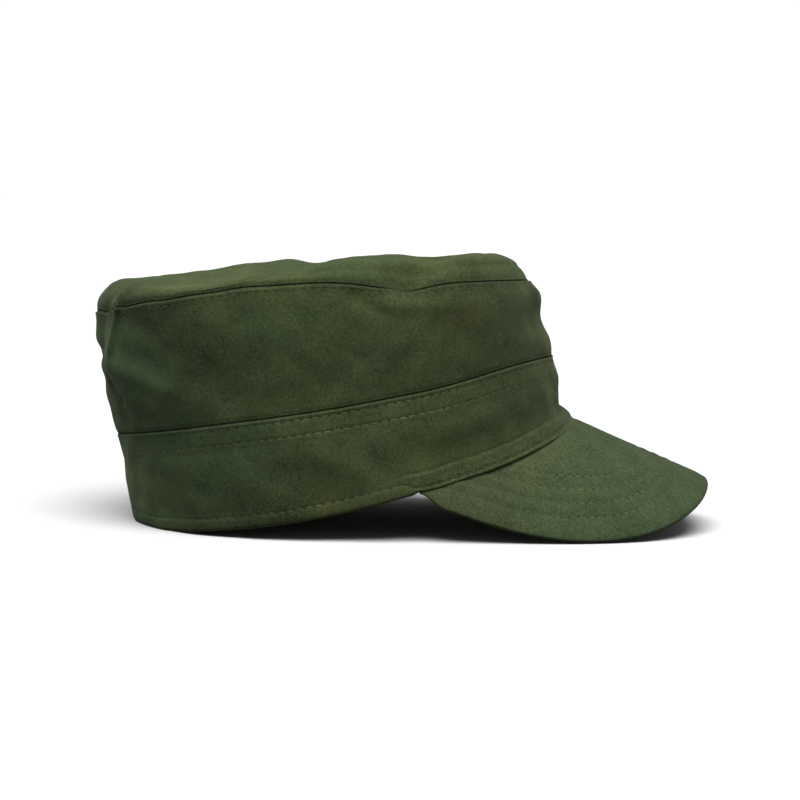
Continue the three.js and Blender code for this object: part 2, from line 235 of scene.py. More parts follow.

# %% [markdown]
# Folds give soft cloth its life. Each one here is a line between two places on the crown, with a
# width over which it fades and a distance by which it moves the cloth outwards and upwards. The
# last number makes the cloth paler along that line or, if it is negative, darker: on the creases
# it is rubbed pale, elsewhere it is painted highlight and painted shade, and a few rows do no
# more than that. A simulation could crumple the cap too, but these folds have to be the ones
# that it has.

# %% The folds: from and to (angle, level), pieces, width, out, lift, rubbed or painted light and shade
FOLDS = {
    "dip of the top seam": ((60, 6.0), (67, 6.0), 1, 15, -1.2, -1.5, 0),
    "valley up from the dip": ((60, 6.4), (44, 8.2), 3, 8, -1.6, -1.8, 0),
    "shelf under the dip": ((67, 5.42), (51, 5.3), 4, 4.5, 1.1, 0, 0.1),
    "streak under the dip": ((77, 5.65), (70, 5.2), 3, 4.2, -1.0, 0, 0),
    "hollow under the dip": ((71, 4.95), (54, 4.8), 3, 7, -0.6, 0, 0),
    "hollow at the temple": ((38, 5.1), (26, 4.85), 3, 6, -0.4, 0, 0),
    "low far side of the top": ((-20, 8.0), (-75, 8.0), 6, 26, 0, -5.0, 0),
    "far dip of the top": ((-36, 8.2), (-52, 8.2), 1, 9, 0, -2.0, 0),
    "ripple across the top": ((112, 7.7), (-116, 7.9), 1, 8, 0, 1.4, 0.4),
    "trough behind the ripple": ((126, 8.1), (172, 9.4), 1, 8, 0, -1.2, 0),
    "trough before the ripple": ((101, 8.2), (-92, 7.9), 1, 9, 0, -3.8, 0),
    "crest along the front of the top": ((28, 8.2), (-15, 8.2), 3, 5, 0, 0.6, 0),
    "front corner of the top": ((16, 7.6), (-12, 7.6), 3, 4.5, 0, -1.8, 0),
    "hollow behind the temple": ((132, 5.4), (120, 3.7), 4, 9, -1.3, 0, 0),
    "furrow behind the temple": ((140.5, 5.4), (132, 4.6), 4, 5.5, -1.0, 0, 0),
    "crease of the back corner": ((149.5, 6.0), (155, 5.0), 3, 2.2, 1.5, 0, 1.2),
    "crease over the top seam": ((151, 6.7), (149.5, 6.0), 1, 2.2, 1.1, 0, 0.9),
    "tail of the crease": ((152.5, 7.6), (151, 6.6), 2, 3.5, 0.5, 0, 0.2),
    "hollow behind the crease": ((157, 6.3), (161, 5.1), 2, 5, -1.5, -0.9, 0),
    "bump under the crease": ((157, 4.64), (137, 4.0), 4, 6, 1.5, 0, 0.5),
    # Painted light on the back corner, where its folds face up.
    "painted light on the back corner": ((158, 5.35), (142, 4.28), 4, 25, 0, 0, 1.45),
    "lighter back of the band": ((178, 2.6), (150, 0.9), 3, 36, 0, 0, 1.7),
    # Painted shade on patches that turn away from the light.
    "dark side behind the temple": ((136, 5.5), (128, 4.3), 3, 28, 0, 0, -0.3),
    "dark patch of the hem": ((118, 0.9), (105, 0.7), 2, 24, 0, 0, -0.7),
    "painted shade on the back corner of the top": ((152, 6.9), (176, 6.7), 3, 28, 0, 0, -1.0),
    "painted shade on the front of the side": ((6, 5.7), (8, 4.5), 1, 34, 0, 0, -0.35),
    "furrow under the bump": ((162, 4.2), (157, 3.8), 1, 3.2, -1.4, 0, 0),
    "hollow under the back bulge": ((196, 4.85), (167, 4.85), 4, 5, -2.8, 0, 0),
    "hollow over the back of the band": ((194, 4.35), (169, 4.3), 4, 5, -1.3, 0, 0),
    "flat back of the band": ((192, 2.4), (168, 2.4), 3, 11, -1.1, 0, 0),
    "full back of the top": ((140, 6.9), (220, 6.9), 6, 9, 0.9, 1.2, 0),
    "far hollow behind the temple": ((-128, 4.8), (-108, 4.2), 3, 15, -2.2, 0, 0),
    "far fold at the back": ((-166, 5.0), (-142, 4.3), 3, 6, 1.6, 0, 0.2),
    "far fold at the temple": ((-70, 5.3), (-35, 4.6), 3, 6, 1.2, 0, 0),
    "far hollow at the temple": ((-76, 4.8), (-44, 4.1), 3, 6, -1.1, 0, 0),
    "dent above the front seam": ((20, 4.6), (-18, 4.55), 5, 9, -2.3, 0, 0),
    "fullness under the front of the top": ((12, 5.42), (-14, 5.4), 4, 5.5, 1.5, 0, 0),
    "fullness beside it": ((22, 5.4), (-20, 5.4), 5, 7, 0.9, 0, 0),
    "fullness over the front of the band seam": ((13, 3.45), (-13, 3.45), 4, 8, 1.4, 0, 0),
    "wrinkle at the front of the band": ((12, 2.2), (-10, 2.3), 3, 4, 0.9, 0, 0),
    "pleat over the peak": ((7, 1.4), (10, 2.4), 2, 3.5, 0.5, 0, 0),
    "furrow beside the pleat": ((13, 1.4), (16, 2.3), 2, 3.5, -0.3, 0, 0),
    "second pleat over the peak": ((20, 1.5), (23, 2.5), 2, 4, 0.3, 0, 0),
    "far pleat over the peak": ((-19, 1.3), (-15, 2.2), 2, 5, 0.8, 0, 0),
    "roll over the front of the peak": ((30, 0.75), (-30, 0.75), 6, 4, 1.2, 0, 0),
    "soft back of the band": ((149, 2.35), (155, 1.0), 2, 5, 0.5, 0, 0.4),
    "slack of the band": ((118, 2.4), (96, 0.9), 3, 8, -0.8, 0, 0),
    "slack beside it": ((104, 2.5), (84, 1.4), 3, 7, 0.7, 0, 0),
}
print(len(FOLDS), "folds and rubbed places")

# %% What the folds do to the cloth
RUB_AND_LIGHT_SHARPNESS = 2.2


def ridge(distance, width):
    """From 1 at no distance down to nothing past about two widths."""
    return np.exp(-((distance / width) ** 2))


def fold_distance(points, start, end, pieces):
    """How far points are from a fold's line, which has so many straight pieces."""
    share = np.linspace(0, 1, pieces + 1)
    angles = start[0] + (end[0] - start[0]) * share
    line = crown_base(angles, start[1] + (end[1] - start[1]) * share)
    nearest = np.full(points.shape[:-1], np.inf)
    for head, tail in zip(line[:-1], line[1:]):
        span = tail - head
        t = np.clip((points - head) @ span / (span @ span), 0, 1)
        nearest = np.minimum(nearest, np.linalg.norm(points - head - t[..., None] * span, axis=-1))
    return nearest


def fold_moves(points, outward):
    """How far the folds move each point, as vectors."""
    moved = np.zeros_like(points)
    for start, end, pieces, width, out, lift, _ in FOLDS.values():
        if out or lift:
            share = ridge(fold_distance(points, start, end, pieces), width)
            moved += share[..., None] * (out * outward + np.array([0.0, 0.0, lift]))
    return moved


def fold_rub_and_light(points):
    """How pale each point is rubbed or painted by the folds, or below nothing its painted shade."""
    rub_and_light = np.zeros(points.shape[:-1])
    for start, end, pieces, width, _, _, rub_or_light in FOLDS.values():
        if rub_or_light:
            near = fold_distance(points, start, end, pieces)
            rub_and_light += rub_or_light * ridge(RUB_AND_LIGHT_SHARPNESS * near, width)
    return rub_and_light


front_hem = crown_frame(np.zeros(1), np.ones(1))
print("folds move the front of the hem by", fold_moves(*front_hem).round(2).tolist(), "mm")

# %% Gentle waves between the folds: height, size and seed
CROWN_WAVES = [(0.8, 50, 3.1), (0.8, 21, 7.7), (0.5, 10, 1.3)]


def undulation(points, size, seed):
    """Gentle noise of about one, with waves of a size in millimetres."""
    flat = points.reshape(-1, 3) / size + seed
    return np.array([noise.noise(Vector(p)) for p in flat]).reshape(points.shape[:-1])


def crown_waves(points):
    return sum(height * undulation(points, size, seed) for height, size, seed in CROWN_WAVES)


print("waves at the rim within", round(float(np.ptp(crown_waves(rim))), 2), "mm")

# %% [markdown]
# A panel is a lattice: columns round the cap and rows through a cross-section of the cloth. The
# section runs up the outer face, turns over the folded edge, comes down the inner face and turns
# again, so the wall is closed and its edges are round. Rows lie closer together near a seam,
# where the cloth rolls under and is stitched. create_grid makes the flat lattice, and each of its
# vertices then moves to the place of its column and row.

# %% Lattice to mesh
MERGE_WITHIN = 0.000001


def into_scene(name, data):
    """An object at the origin, unturned and unscaled, for a mesh, a lamp or a camera."""
    made = bpy.data.objects.new(name, data)
    bpy.context.scene.collection.objects.link(made)
    return made


def finish_piece(name, bm, mesh=None):
    """Makes a smooth piece of a bmesh, on the mesh that it came from or on a new one."""
    mesh = mesh or bpy.data.meshes.new(name)
    open_edges = sum(1 for edge in bm.edges if not edge.is_manifold)
    bm.to_mesh(mesh)
    bm.free()
    mesh.shade_smooth()
    print(name, len(mesh.polygons), "faces,", open_edges, "open edges")
    return into_scene(name, mesh)


def lattice_piece(name, points, cloth_map, marks):
    """A piece from a lattice of points in millimetres, merged where its ends meet."""
    steps = np.array(points.shape[:2]) - 1
    bm = bmesh.new()
    bmesh.ops.create_grid(bm, x_segments=steps[0], y_segments=steps[1], size=0.5)
    mesh = bpy.data.meshes.new(name)
    bm.to_mesh(mesh)
    places = np.empty(3 * len(mesh.vertices))
    mesh.vertices.foreach_get("co", places)
    i, j = np.rint((places.reshape(-1, 3)[:, :2] + 0.5) * steps).astype(int).T
    corners = np.empty(len(mesh.loops), dtype=int)
    mesh.loops.foreach_get("vertex_index", corners)
    mesh.vertices.foreach_set("co", (points[i, j] * MM).ravel())
    cloth_uv = mesh.uv_layers.new(name="cloth")
    cloth_uv.data.foreach_set("uv", cloth_map[i[corners], j[corners]].ravel())
    for key, values in marks.items():
        mark = mesh.attributes.new(key, "FLOAT", "POINT")
        mark.data.foreach_set("value", values[i, j].ravel())
    bm.clear()
    bm.from_mesh(mesh)
    bmesh.ops.remove_doubles(bm, verts=bm.verts, dist=MERGE_WITHIN)
    bmesh.ops.dissolve_degenerate(bm, edges=bm.edges, dist=MERGE_WITHIN)
    bmesh.ops.recalc_face_normals(bm, faces=bm.faces)
    return finish_piece(name, bm, mesh)


# %% Rows through the cross-section of a panel
CAP_TURNS = np.radians([30, 60, 90, 120, 150])
FINE = np.arange(0, 13.1, 0.65)


def half_turn(radius):
    """Round a folded edge: distances from it and depths, from the outer face to the inner."""
    return radius - radius * np.sin(CAP_TURNS), radius - radius * np.cos(CAP_TURNS)


def spread(start, stop, count):
    """Even steps between two columns of distances, without their ends."""
    share = np.linspace(0, 1, count + 2)[1:-1]
    return start[:, None] + (stop - start)[:, None] * share


def section_rows(total, middle, inner, thickness, roundness=1.0):
    """Distances up the cloth, depths, and which rows are on the outer face, for each column."""
    radius = thickness / 2
    cap_along, cap_deep = half_turn(radius)
    low = np.tile(radius + FINE, (len(total), 1))
    high = total[:, None] - radius * roundness - FINE[::-1]
    outer = np.hstack([low, spread(low[:, -1], high[:, 0], middle), high])
    inside = np.hstack([high[:, -1:], spread(high[:, -1], low[:, 0], inner), low[:, :1]])
    top_cap = total[:, None] - cap_along * roundness
    low_cap = np.tile(cap_along[::-1], (len(total), 1))
    along = np.hstack([outer, top_cap, inside, low_cap, low[:, :1]])
    on_face, within = np.zeros(outer.shape[1]), np.full(inside.shape[1], thickness)
    depth = np.concatenate([on_face, cap_deep, within, cap_deep[::-1], [0]])
    facing = np.zeros(along.shape[1])
    facing[: outer.shape[1]] = 1
    facing[-1] = 1
    return along, np.tile(depth, (len(total), 1)), np.tile(facing, (len(total), 1))


print(section_rows(np.array([60.0]), 18, 12, CLOTH["band"])[0].shape[1], "rows through a band")

# %% Cloth between two levels of the crown
COLUMNS = 720
CROWN_ANGLES = np.linspace(-180, 180, COLUMNS + 1)
LEVELS_MEASURED = 70
TINY = 1e-9


def crown_lengths(low_level, high_level):
    """Levels up the cloth and how far along it each lies, for every column."""
    levels = np.linspace(low_level, high_level, LEVELS_MEASURED)
    angles, grid = np.meshgrid(CROWN_ANGLES, levels, indexing="ij")
    base, outward = crown_frame(angles, grid)
    steps = np.linalg.norm(np.diff(base + fold_moves(base, outward), axis=1), axis=-1)
    return levels, np.hstack([np.zeros((len(CROWN_ANGLES), 1)), np.cumsum(steps, axis=1)])


def inward_of(outward, level):
    """Into the cloth: sideways at the flared rim and square to the cloth above it."""
    sideways = -outward * [1, 1, 0]
    sideways /= np.maximum(np.linalg.norm(sideways, axis=-1, keepdims=True), TINY)
    square = smooth_step(level, LEVEL["rim"], LEVEL["band_middle"])[..., None]
    inward = (1 - square) * sideways - square * outward
    return inward / np.linalg.norm(inward, axis=-1, keepdims=True)


def crown_lattice(along, depth, relief, levels, lengths):
    """The points of a panel and their rub and painted light, from its rows, depths and the relief
    of its face.
    """
    level = np.stack([np.interp(row, length, levels) for row, length in zip(along, lengths)])
    angles = np.repeat(CROWN_ANGLES[:, None], level.shape[1], axis=1)
    base, outward = crown_frame(angles, level)
    shift = relief + crown_waves(base)
    points = base + fold_moves(base, outward) + shift[..., None] * outward
    return points + depth[..., None] * inward_of(outward, level), fold_rub_and_light(base)


print(COLUMNS, "columns of cloth round the cap")

# %% [markdown]
# Every visible row of stitches pulls the cloth into a shallow groove and leaves needle holes.
# A bump map could fake both, but real relief also catches the light from the side. The lattice
# carries it, and three attributes carry the rest to the materials: how worn the cloth is and where
# painted highlight and painted shade lie on it, how near a row of stitches is, and how many
# stitches have been sewn up to there.

# %% The groove of a row of stitches
STITCH_PITCH = 4.3
GROOVE_WIDTH = 0.7
HOLE_DEPTH = 0.07
HOLE_WIDTH = 1.1
ROW_WIDTH = 0.8
BELOW_SEAM = 0.1
MAP_STEP = 0.2


def sewn_groove(distance, count, depth):
    """The groove of a row of stitches, pinched at every needle hole."""
    pinch = 0.5 + 0.5 * np.cos(2 * np.pi * count)
    return -depth * ridge(distance, GROOVE_WIDTH) - HOLE_DEPTH * pinch * ridge(distance, HOLE_WIDTH)


def stitch_count(points):
    """How many stitches fit along a closed row of points, up to each of them."""
    length = np.concatenate([[0], np.cumsum(np.linalg.norm(np.diff(points, axis=0), axis=1))])
    return length * round(length[-1] / STITCH_PITCH) / length[-1]


def sewn_seam(level, rows):
    """The line just below a seam, and the stitches up to each column for so many rows."""
    seam, _ = crown_frame(CROWN_ANGLES, np.full(COLUMNS + 1, level - BELOW_SEAM))
    return seam, np.repeat(stitch_count(seam)[:, None], rows, axis=1)


def panel_map(count, along):
    """Where the cloth of a panel lies when it is laid out flat, both faces after each other."""
    climbed = np.abs(np.diff(along, axis=1, prepend=0)) + MAP_STEP
    return np.stack([count * STITCH_PITCH, np.cumsum(climbed, axis=1)], -1)


def raised(distance, height, level_to, gone_at):
    """A height that is level up to one distance and gone at another."""
    return height * (1 - smooth_step(distance, level_to, gone_at))


print("a row round the rim takes", round(stitch_count(rim)[-1]), "stitches")

# %% [markdown]
# The thread itself is one small rounded stitch. A curve with a bevel could follow the row too,
# but separate stitches sink into their holes as real ones do. One mesh is laid along the row
# again and again, and all stitches of a panel become one piece.

# %% Stitches of thread
THREAD_RADIUS = 0.22
STITCH_ENDS = (0.13, 0.87)
bm = bmesh.new()
bmesh.ops.create_uvsphere(bm, u_segments=8, v_segments=5, radius=1)
bmesh.ops.rotate(bm, matrix=Matrix.Rotation(math.radians(90), 3, "Y"), verts=bm.verts)
bmesh.ops.scale(bm, vec=(1, THREAD_RADIUS, THREAD_RADIUS), verts=bm.verts)
stitch = bpy.data.meshes.new("stitch")
bm.to_mesh(stitch)
bm.free()


def sew(bm, path, outward, count, sunk):
    """Adds one stitch between each two needle holes along a path of points in millimetres."""
    for k in range(math.ceil(count.min()), math.floor(count.max())):
        ends = [[np.interp(k + at, count, axis) for axis in path.T] for at in STITCH_ENDS]
        start, end = np.array(ends)
        up = Vector([np.interp(k + 0.5, count, axis) for axis in outward.T]).normalized()
        reach = Vector(end - start)
        side = up.cross(reach).normalized()
        turn = Matrix((reach / 2, side, reach.normalized().cross(side))).transposed()
        middle = Matrix.Translation((Vector(start + end) / 2 - up * sunk) * MM)
        place = middle @ Matrix.Scale(MM, 4) @ turn.to_4x4()
        stitch.transform(place)
        bm.from_mesh(stitch)
        stitch.transform(place.inverted())


def face_directions(points):
    """Outward directions of a lattice from its own neighbours."""
    across = np.gradient(points, axis=0)
    up = np.gradient(points, axis=1)
    normal = np.cross(up, across)
    return normal / np.maximum(np.linalg.norm(normal, axis=-1, keepdims=True), TINY)


def face_row(distance, facing):
    """The row of the outer face for which a distance is nearest to nothing."""
    return np.argmin(np.where(facing[0] == 1, np.abs(distance[0]), np.inf))


print("one stitch has", len(stitch.polygons), "faces")

# %% [markdown]
# The side wall runs from the band up to the seam of the top. At the top its folded edge lies over
# the seam allowances, so it stands a little proud down to its row of stitches. At its foot it
# dips behind the band. It could be a plain strip with painted seams, but a seam that really turns
# under keeps its dark line from every side; painted shade along the seams deepens it. By the temple
# a fold presses the top seam shut.

# %% The cloth of the side wall
SEWN_IN = 2.6
DIP_ANGLE = 62.5
DIP_WIDTH = 4.6
DIP_SHUT = 0.97
TOP_EDGE_PROUD = (0.5, 2.2, 4.4)
FOOT_SUNK = (-0.35, 0.3, 2.2)
dip = np.exp(-(((CROWN_ANGLES - DIP_ANGLE) / DIP_WIDTH) ** 4))[:, None]
open_seam = 1 - DIP_SHUT * dip
side_levels, side_lengths = crown_lengths(LEVEL["band_seam"], LEVEL["top_seam"])
side_total = side_lengths[:, -1] - SEAM_GAP / 2 - SEAM_GAP / 2 * open_seam[:, 0]
along, depth, facing = section_rows(side_total, 26, 10, CLOTH["side"], open_seam)
from_top, from_foot = side_total[:, None] - along, along
_, side_count = sewn_seam(LEVEL["top_seam"], along.shape[1])
relief = open_seam * raised(from_top, *TOP_EDGE_PROUD) + raised(from_foot, *FOOT_SUNK)
relief = (relief + sewn_groove(from_top - SEWN_IN, side_count, 0.3) * open_seam) * facing
seam_along = along + SEAM_GAP / 2
side_points, side_rub_and_light = crown_lattice(seam_along, depth, relief, side_levels, side_lengths)
print("side wall", side_total.min().round(1), "to", side_total.max().round(1), "mm tall")

# %% Wear, painted highlight and painted shade of the side wall, and its piece
LIP_PLACE, LIP_WIDTH = 1.4, 0.55
LIP_FRONT, LIP_BACK = 0.35, 1.1
to_back = smooth_step(np.abs(CROWN_ANGLES), 75, 115)[:, None]
# A painted highlight on the lip below the top seam, stronger towards the back.
painted_lip_highlight = open_seam * (LIP_FRONT + LIP_BACK * to_back) * ridge(from_top - LIP_PLACE, LIP_WIDTH)
# Painted shade along the top seam and at the foot of the wall.
seam_shade = 1.3 * open_seam * ridge(from_top, 0.95) + ridge(from_foot, 0.8)
side_marks = {
    "wear_and_painted_light": facing * (painted_lip_highlight + side_rub_and_light) - seam_shade,
    "sewn": facing * ridge(from_top - SEWN_IN, ROW_WIDTH),
    "stitches": side_count,
}
side_map = panel_map(side_count, along)
crown_side = lattice_piece("crown_side_cloth", side_points, side_map, side_marks)

# %% Stitches of the side wall
thread = bmesh.new()
side_out = face_directions(side_points)
j = face_row(from_top - SEWN_IN, facing)
sew(thread, side_points[:, j], side_out[:, j], side_count[:, j], 0.1)
crown_side_stitches = finish_piece("crown_side_stitches", thread)

# %% [markdown]
# The lower band goes round the head. Its folded top edge is sewn down over the side wall with two
# rows of stitches, and its foot is a hem. Over the peak the hem flares out and its row of
# stitches runs close to the seam of the peak. The hem could be a second piece, but it is the same
# cloth turned up, so here the section only grows thicker below its row.

# %% The cloth of the lower band
SECOND_ROW = 9.5
HEM_ROW = 6.5
STRIP_ROW = 2.2
STRIP_ENDS = (PEAK_CORNER - 1, PEAK_CORNER + 4)
band_levels, band_lengths = crown_lengths(LEVEL["rim"], LEVEL["band_seam"])
band_total = band_lengths[:, -1] - SEAM_GAP / 2
along, depth, facing = section_rows(band_total, 18, 12, CLOTH["band"])
from_top, from_foot = band_total[:, None] - along, along
off_front = np.abs(CROWN_ANGLES)[:, None]
over_peak = 1 - smooth_step(off_front, *STRIP_ENDS)
foot_row = over_peak * STRIP_ROW + (1 - over_peak) * HEM_ROW
band_seam, band_count = sewn_seam(LEVEL["band_seam"], along.shape[1])
print("band", band_total.min().round(1), "to", band_total.max().round(1), "mm tall")

# %% Relief of the lower band
TURNED_EDGE = (0.06, 2.4, 4.4)
UNDER_SECOND_ROW = (0.25, 9.6, 11.8)
HEM_STEP = (0.2, HEM_ROW, HEM_ROW + 2)
STRIP_STEP = (0.75, 8.7, 9.9)
HOLLOW_DEPTH, HOLLOW_PLACE, HOLLOW_WIDTH = 0.2, 5.2, 1.8
FRONT_PULLED_IN = (2.0, 0, 5.5)
FRONT_REACH = (8, 26)
DEEPEST_Y, DEEP_REACH = 22, 65
row_depth = 0.35 + 0.65 * ridge(band_seam[:, 1:2] - DEEPEST_Y, DEEP_REACH)
relief = raised(from_top, *TURNED_EDGE) + raised(from_top, *UNDER_SECOND_ROW)
relief += row_depth * sewn_groove(from_top - SEWN_IN, band_count, 0.35)
relief += row_depth * sewn_groove(from_top - SECOND_ROW, band_count, 0.3)
relief += (1 - over_peak) * raised(from_foot, *HEM_STEP)
strip = raised(from_foot, *STRIP_STEP)
strip -= HOLLOW_DEPTH * ridge(from_foot - HOLLOW_PLACE, HOLLOW_WIDTH)
relief += over_peak * strip + sewn_groove(from_foot - foot_row, band_count, 0.3)
relief *= facing
at_front = 1 - smooth_step(off_front, *FRONT_REACH)
relief -= at_front * raised(from_foot, *FRONT_PULLED_IN) * (1 - depth / CLOTH["band"])
thicker = raised(from_foot, CLOTH["hem"] / CLOTH["band"] - 1, HEM_ROW + 0.5, HEM_ROW + 1.5)
depth = depth * (1 + thicker)
band_points, band_rub_and_light = crown_lattice(along, depth, relief, band_levels, band_lengths)
print("band relief", relief.min().round(2), "to", relief.max().round(2), "mm")

# %% Painted light, painted shade and wear of the lower band, and its piece: strength, distance from the foot, width
# Painted highlights and painted shade lines along the strip over the peak, its lower part painted
# darker.
STRIP_LIGHT_AND_SHADE = [(0.5, 1.7, 0.8), (-0.6, 3.6, 0.9), (0.1, 7.6, 2.0), (-0.9, 10.3, 0.8), (0.7, 15, 5)]
strip_light_and_shade = sum(wear_and_painted_light * ridge(from_foot - place, width) for wear_and_painted_light, place, width in STRIP_LIGHT_AND_SHADE)
strip_light_and_shade -= raised(from_foot, 0.2, 7, 10)
# Painted shade on the lowest part of the hem, which flares up towards the light.
hem_painted_shade = -raised(from_foot, 0.7, 1, 6)
band_light_and_rub = over_peak * strip_light_and_shade + (1 - over_peak) * hem_painted_shade + band_rub_and_light
rows = [from_top - SEWN_IN, from_top - SECOND_ROW, from_foot - foot_row]
band_marks = {
    # Painted shade along the band's top edge, at its seam.
    "wear_and_painted_light": facing * (band_light_and_rub - 1.4 * ridge(from_top, 1.3)),
    "sewn": facing * np.max([ridge(row, ROW_WIDTH) for row in rows], axis=0),
    "stitches": band_count,
}
band_map = panel_map(band_count, along)
lower_band = lattice_piece("lower_band_cloth", band_points, band_map, band_marks)

# %% Stitches of the lower band
thread = bmesh.new()
band_out = face_directions(band_points)
for row, sunk in ((SEWN_IN, 0.06), (SECOND_ROW, 0.04)):
    j = face_row(from_top - row, facing)
    sew(thread, band_points[:, j], band_out[:, j], band_count[:, j], sunk)
outer = int(facing[0].sum()) - 1
foot_path, foot_out = [], []
for i in range(COLUMNS + 1):
    place = np.interp(foot_row[i, 0], along[i, :outer], np.arange(outer))
    j, part = int(place), place % 1
    foot_path.append(band_points[i, j] * (1 - part) + band_points[i, j + 1] * part)
    foot_out.append(band_out[i, j])
sew(thread, np.array(foot_path), np.array(foot_out), band_count[:, 0], 0.1)
lower_band_stitches = finish_piece("lower_band_stitches", thread)

# %% [markdown]
# The top is one oval panel. Towards its edge it rolls down to the top seam, where it turns under.
# A flat disc could be draped over the crown, but the table already holds its roll and its dips.
# Its cloth is laid out flat from the middle, so its weave runs straight across.

# %% The cloth of the top
EDGE_SUNK = (0.35, 0.2, 3.0)
OUTER_ROWS = 64
INNER_ROWS = 16
top_levels, top_lengths = crown_lengths(LEVEL["top_seam"], LEVEL["centre"])
top_total = top_lengths[:, -1]
radius = CLOTH["top"] / 2
cap_along, cap_deep = half_turn(radius)
edge_rows = radius * open_seam + FINE
middle_row = top_total[:, None]
outer = np.hstack([edge_rows, spread(edge_rows[:, -1], top_total, OUTER_ROWS), middle_row])
inside = np.hstack([edge_rows[:, :1], spread(edge_rows[:, 0], top_total, INNER_ROWS), middle_row])
along = np.hstack([outer[:, ::-1], cap_along * open_seam, inside])
under = np.full(inside.shape[1], CLOTH["top"])
depth = np.concatenate([np.zeros(outer.shape[1]), cap_deep, under])
depth = np.tile(depth, (COLUMNS + 1, 1))
facing = (depth == 0).astype(float)
relief = -open_seam * raised(along, *EDGE_SUNK) * facing
seam_along = along + SEAM_GAP / 2 * open_seam
top_points, top_rub_and_light = crown_lattice(seam_along, depth, relief, top_levels, top_lengths)
for middle in (0, -1):
    top_points[:, middle] = top_points[:, middle].mean(axis=0)
print("top", top_total.min().round(1), "to", top_total.max().round(1), "mm from edge to middle")

# %% Wear, painted shade and a lighter band on the top, and its piece
UNDER_FACE_BEYOND = 20
spoke = np.radians(CROWN_ANGLES)[:, None]
on_under_face = top_total[:, None] + UNDER_FACE_BEYOND + along
from_middle = np.where(facing == 1, top_total[:, None] - along, on_under_face)
top_map = np.stack([-from_middle * np.sin(spoke), -from_middle * np.cos(spoke)], -1)
# Painted shade along the back edge of the top.
painted_shade_back = smooth_step(np.abs(CROWN_ANGLES), 95, 130)[:, None] * raised(along, 0.75, 2, 11)
# Lighter in a band about 14 mm in from the edge.
top_light_and_rub = 0.3 * ridge(along - 14, 7) - painted_shade_back + top_rub_and_light
top_marks = {
    # Painted shade at the edge by the top seam.
    "wear_and_painted_light": facing * top_light_and_rub - open_seam * ridge(along, 0.9),
    "sewn": 0 * along,
    "stitches": 0 * along,
}
crown_top = lattice_piece("crown_top_cloth", top_points, top_map, top_marks)

# %% [markdown]
# The peak is a stiffener between two layers of cloth. It could be solidified from one bent sheet,
# but a closed section over the top, round the edge and back below also takes the seam's tuck and
# the quilting. Four rows of stitches follow its edge and draw back a little at the very front.

# %% How far inside its edge a point of the peak lies
WIDEST_INSET = 95.0
HALVINGS = 30


def inset_of(aside, ahead):
    """Halves the range of insets until the line through each point is found."""
    low, high = np.zeros_like(aside), np.full_like(aside, WIDEST_INSET)
    from_centre = ahead - PEAK_LENGTH + PEAK_EDGE_RADIUS
    for _ in range(HALVINGS):
        middle = (low + high) / 2
        reach = np.abs(from_centre / (PEAK_EDGE_RADIUS - middle)) ** PEAK_SQUARENESS
        reach += np.abs(aside / (PEAK_HALF_WIDTH - middle)) ** PEAK_SQUARENESS
        low, high = np.where(reach < 1, middle, low), np.where(reach < 1, high, middle)
    return low


print("front seam to edge", inset_of(np.zeros(1), np.zeros(1)).round(1).tolist(), "mm")

# %% Columns and rows of the peak
PEAK_COLUMNS = 300
PEAK_FACE_ROWS = 84
ROWS_TO_EDGE = 0.9
EDGE_CLOTH = 2.5
ENDS_SHORTER, SHORTER_FROM = 0.62, 0.92


def peak_seam(share):
    """Where the peak meets the foot of the band, in its flat pattern."""
    seam = ring_points(LEVEL["rim"], share * PEAK_CORNER, CLOTH["hem"] / 2)
    return BEND_RADIUS * np.arcsin(-seam[:, 0] / BEND_RADIUS), ahead_of_seam(seam[:, 0], seam[:, 1])


shares = np.linspace(1, -1, PEAK_COLUMNS + 1)
seam_aside, seam_ahead = peak_seam(shares)
edge_aside, edge_ahead = pattern_line(shares * PEAK_SWEEP)
reach_share = 1 - ENDS_SHORTER * smooth_step(np.abs(shares), SHORTER_FROM, 1.0)
span_aside = (edge_aside - seam_aside) * reach_share
span_ahead = (edge_ahead - seam_ahead) * reach_share
span = np.hypot(span_aside, span_ahead)[:, None]
face = np.linspace(0, 1, PEAK_FACE_ROWS + 1) ** ROWS_TO_EDGE
rounding = EDGE_CLOTH / 2
cap_along, cap_deep = half_turn(rounding)
reach = np.hstack([(span - rounding) * face, span - cap_along, (span - rounding) * face[::-1]])
lift_share = np.concatenate([np.zeros(len(face)), cap_deep / EDGE_CLOTH, np.ones(len(face))])
aside = seam_aside[:, None] + span_aside[:, None] * reach / span
ahead = seam_ahead[:, None] + span_ahead[:, None] * reach / span
inset = inset_of(aside, ahead)
print("peak", span.min().round(1), "to", span.max().round(1), "mm from seam to edge")

# %% The rows of stitches on the peak
PEAK_ROWS = [10.6, 17.6, 24.6, 31.6]
ROW_SPACING = 7.0
DRAW_SWEEP = 22
DRAW_CLOSER = 0.17
DRAW_BACK = 9.6
sweep_fine = np.linspace(-PEAK_SWEEP, PEAK_SWEEP, 1201)


def row_line(row):
    """A row of stitches in the flat pattern, which draws back at the very front."""
    drawn = ridge(sweep_fine, DRAW_SWEEP)
    return pattern_line(sweep_fine, row * (1 - DRAW_CLOSER * drawn) + DRAW_BACK * drawn)


def row_count(row):
    """The stitches from the middle of the peak to each place along a row."""
    row_aside, row_ahead = row_line(row)
    length = np.concatenate([[0], np.cumsum(np.hypot(np.diff(row_aside), np.diff(row_ahead)))])
    return (length - np.interp(0, sweep_fine, length)) / STITCH_PITCH


